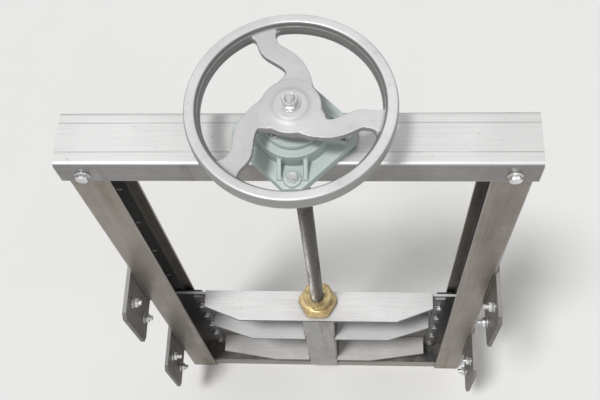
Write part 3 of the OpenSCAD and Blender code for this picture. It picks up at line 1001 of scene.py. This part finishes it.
# %% Guide screws
SCREWS_A_STRIP, END_GAP = 8, 40
bm = bmesh.new()
for node in ("left_front_guide", "left_back_guide", "right_front_guide", "right_back_guide"):
    low, high = (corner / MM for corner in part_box(node))
    way = -math.copysign(1, low.y)
    face = high.y if way > 0 else low.y
    for i in range(SCREWS_A_STRIP):
        z = low.z + END_GAP + i * (high.z - low.z - 2 * END_GAP) / (SCREWS_A_STRIP - 1)
        screw = seat(((low.x + high.x) / 2, face, z), (0, way, 0), any_turn())
        stack(bm, [(-2.5, 2.6), (0.15, 5.2), (0.3, 4.9), (0.3, hexagon(3.2)),
                   (-1.6, hexagon(3.2))], 30, screw)
finished("guide_screws", bm, "frame", "bright_zinc")


# %% [markdown]
# ## Corner bolts and anchors
# Beam and posts are pinned by a bolt at each corner, with its nut inside the post. The anchors
# show as bright studs on the brackets, with a shank through the plate, and each stands out by a
# slightly different length.

# %% Corner bolts and anchors
CORNER_X, CORNER_DROP, CORNER_NUT = 340, 32.5, 9
BEAM_FACE, POST_INSIDE = 48, 38
BRACKET_PLATE, SHANK = 8, 7.9

bm = bmesh.new()
for x in (-CORNER_X, CORNER_X):
    for y in (-1, 1):
        outside, inside = ((x, y * face, beam_top - CORNER_DROP) for face in (BEAM_FACE, POST_INSIDE))
        bolt_head(bm, 12, seat(outside, (0, y, 0), any_turn()))
        hex_body(bm, 12, seat(inside, (0, -y, 0), any_turn()), CORNER_NUT)
finished("beam_corner_bolts", bm, "frame", "bright_zinc")

bm = bmesh.new()
for mount in frame["record"]["mounts"]:
    if mount["kind"] == "bolt_pattern":
        x, y, z = (v / MM for v in mount["pos_m"])
        way = -math.copysign(1, x)
        for step in (-0.5, 0.5):
            point = (x + way * BRACKET_PLATE, y, z + step * mount["dims"]["spacing_y_mm"])
            stud_end(bm, 12, seat(point, (way, 0, 0), any_turn()), proud=rng.uniform(7, 12))
            stack(bm, [(-SHANK, 6), (1, 6)], 24, seat(point, (way, 0, 0)))
finished("wall_anchors", bm, "frame", "bright_zinc")


# %% [markdown]
# ## A weld bead
# A weld bead is a row of overlapping ripples. It could be a bump on the steel, but a real bead
# stands out and catches the light. Here it is a tube along the seam whose radius rises and
# falls. It sinks halfway into both plates and reads as a fillet.

# %% Weld helpers
RIPPLE = 1.1


def bead(bm, start, end, radius, sides=8):
    """A rippled tube from start to end, with blunt tips."""
    start, end = Vector(start), Vector(end)
    way = end - start
    across = way.orthogonal().normalized()
    other = way.cross(across).normalized()
    count = max(6, int(way.length / RIPPLE))
    last = None
    for i in range(count + 1):
        tip = min(1.0, 0.35 + 0.3 * (min(i, count - i) * RIPPLE))
        wave = 0.93 + 0.12 * abs(math.sin(i * 1.05)) + rng.uniform(-0.04, 0.04)
        size = radius * tip * wave
        centre = start + way * (i / count)
        ring = []
        for k in range(sides):
            angle = math.tau * k / sides
            point = centre + size * (math.cos(angle) * across + math.sin(angle) * other)
            ring.append(bm.verts.new(point * MM))
        if last:
            for k in range(sides):
                n = (k + 1) % sides
                bm.faces.new((last[k], last[n], ring[n], ring[k]))
        else:
            bm.faces.new(ring[::-1])
        last = ring
    bm.faces.new(last)


def stitches(bm, start, end, radius, length=38, gap=26):
    """A row of short beads from start to end, none quite as long as the next."""
    start, end = Vector(start), Vector(end)
    total = (end - start).length
    way = (end - start) / total
    along = gap * 0.4
    while along + length < total:
        stop = along + length + rng.uniform(-5, 5)
        bead(bm, start + way * along, start + way * stop, radius)
        along += length + gap


print("one ripple every", RIPPLE, "mm")


# %% [markdown]
# ## Weld seams
# The leaf's ribs are stitched to its plate with short welds above and below, and to the stem box
# by a bead down each end. The brackets are welded down the posts' corners. Both halves of the
# gate are alike, so the right half's boxes place the seams of both.

# %% Weld seams
RIB_WELD, BOX_WELD, BRACKET_WELD = 3.2, 2.8, 4.0
POST_CORNER = (374, -38.5)
rib_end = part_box("right_middle_rib")[1].x / MM
rib_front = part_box("right_middle_rib")[0].y / MM
skin_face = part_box("right_middle_rib")[1].y / MM
box_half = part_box("stem_box")[1].x / MM
box_low = levels("stem_box")[0]


def rib_seam(bm, side_x, z):
    """Stitches along the leaf's plate at level z, from the stem box to a rib's end."""
    stitches(bm, (side_x * (box_half + 4), skin_face, z), (side_x * rib_end, skin_face, z),
             RIB_WELD)


bm = bmesh.new()
for node in ("right_middle_rib", "right_lower_rib"):
    for side_x in (-1, 1):
        for z in levels(node):
            rib_seam(bm, side_x, z)
            bead(bm, (side_x * box_half, skin_face - 4, z),
                 (side_x * box_half, rib_front + 12, z), BOX_WELD)
for side_x in (-1, 1):
    stitches(bm, (side_x * box_half, skin_face, box_low), (side_x * box_half, skin_face, cap_low),
             RIB_WELD, length=46, gap=30)
    rib_seam(bm, side_x, cap_low)
finished("leaf_welds", bm, "leaf", "leaf_steel", sharp=80, finish=weld_finish)

bm = bmesh.new()
for node in ("right_upper_bracket", "right_lower_bracket"):
    low, high = levels(node)
    for side_x in (-1, 1):
        x, y = side_x * POST_CORNER[0], POST_CORNER[1]
        bead(bm, (x, y, low + 2), (x, y, high - 2), BRACKET_WELD)
finished("bracket_welds", bm, "frame", "bracket_steel", sharp=80, finish=weld_finish)


# %% [markdown]
# ## Floor
# The gate stands on a plain pale floor that runs far past the picture on all sides. It isn't
# part of the gate. It is a shade under white, so that the gate's soft shadow shows on it.

# %% Floor
FAR = 60
floor_mesh = bpy.data.meshes.new("floor")
floor_mesh.from_pydata([(-FAR, -FAR, 0), (FAR, -FAR, 0), (FAR, FAR, 0), (-FAR, FAR, 0)], [],
                       [(0, 1, 2, 3)])
floor = bpy.data.objects.new("floor", floor_mesh)
bpy.context.scene.collection.objects.link(floor)
floor_finish, place, shader = blank("pale_floor", roughness=0.9)
wire_in(shader, base_color=place.noise(3.0, 2.0).blend((0.80, 0.795, 0.785),
                                                       (0.83, 0.825, 0.815)))
floor_mesh.materials.append(floor_finish)
print("floor", 2 * FAR, "m across")


# %% [markdown]
# ## World
# Shiny metal needs something to reflect. The world is white to the eye and in reflections, and
# dimmer as a light, so that colours come out as they are written.

# %% World
WORLD_LIGHT = 0.42
world = bpy.data.worlds.new("studio")
bpy.context.scene.world = world
world.use_nodes = True
sky = world.node_tree.nodes["Background"]
path = Wire(world.node_tree, None)
seen = path.node("ShaderNodeLightPath", {}, {}, out="Is Camera Ray")
for ray in ("Is Glossy Ray", "Is Transmission Ray"):
    seen = seen.most(path.node("ShaderNodeLightPath", {}, {}, out=ray))
strength = WORLD_LIGHT + (1 - WORLD_LIGHT) * seen
world.node_tree.links.new(strength.socket, sky.inputs["Strength"])
sky.inputs["Color"].default_value = (1, 1, 1, 1)
print("world light:", WORLD_LIGHT)


# %% [markdown]
# ## Lamps
# A soft light stands almost overhead, a little to the left and front, with a weak fill from the
# right. The main one is a sun lamp with a wide angle. An area lamp would be as soft, but it
# fades with distance, and a sun lights the floor evenly to its far edge.

# %% Lamps
def lamp(name, kind, point, target, **settings):
    data = bpy.data.lights.new(name, kind)
    for key, value in settings.items():
        setattr(data, key, value)
    made = bpy.data.objects.new(name, data)
    made.location = point
    made.rotation_euler = (Vector(target) - Vector(point)).to_track_quat("-Z", "Y").to_euler()
    bpy.context.scene.collection.objects.link(made)
    print(name, kind, "energy", round(data.energy, 2))


lamp("key", "SUN", (-0.85, -0.75, 4.0), (0, 0, 0.7), energy=0.6 * math.pi, angle=math.radians(11))
lamp("fill", "AREA", (2.2, -2.6, 2.0), (0, 0, 0.6), energy=7, size=2.0)
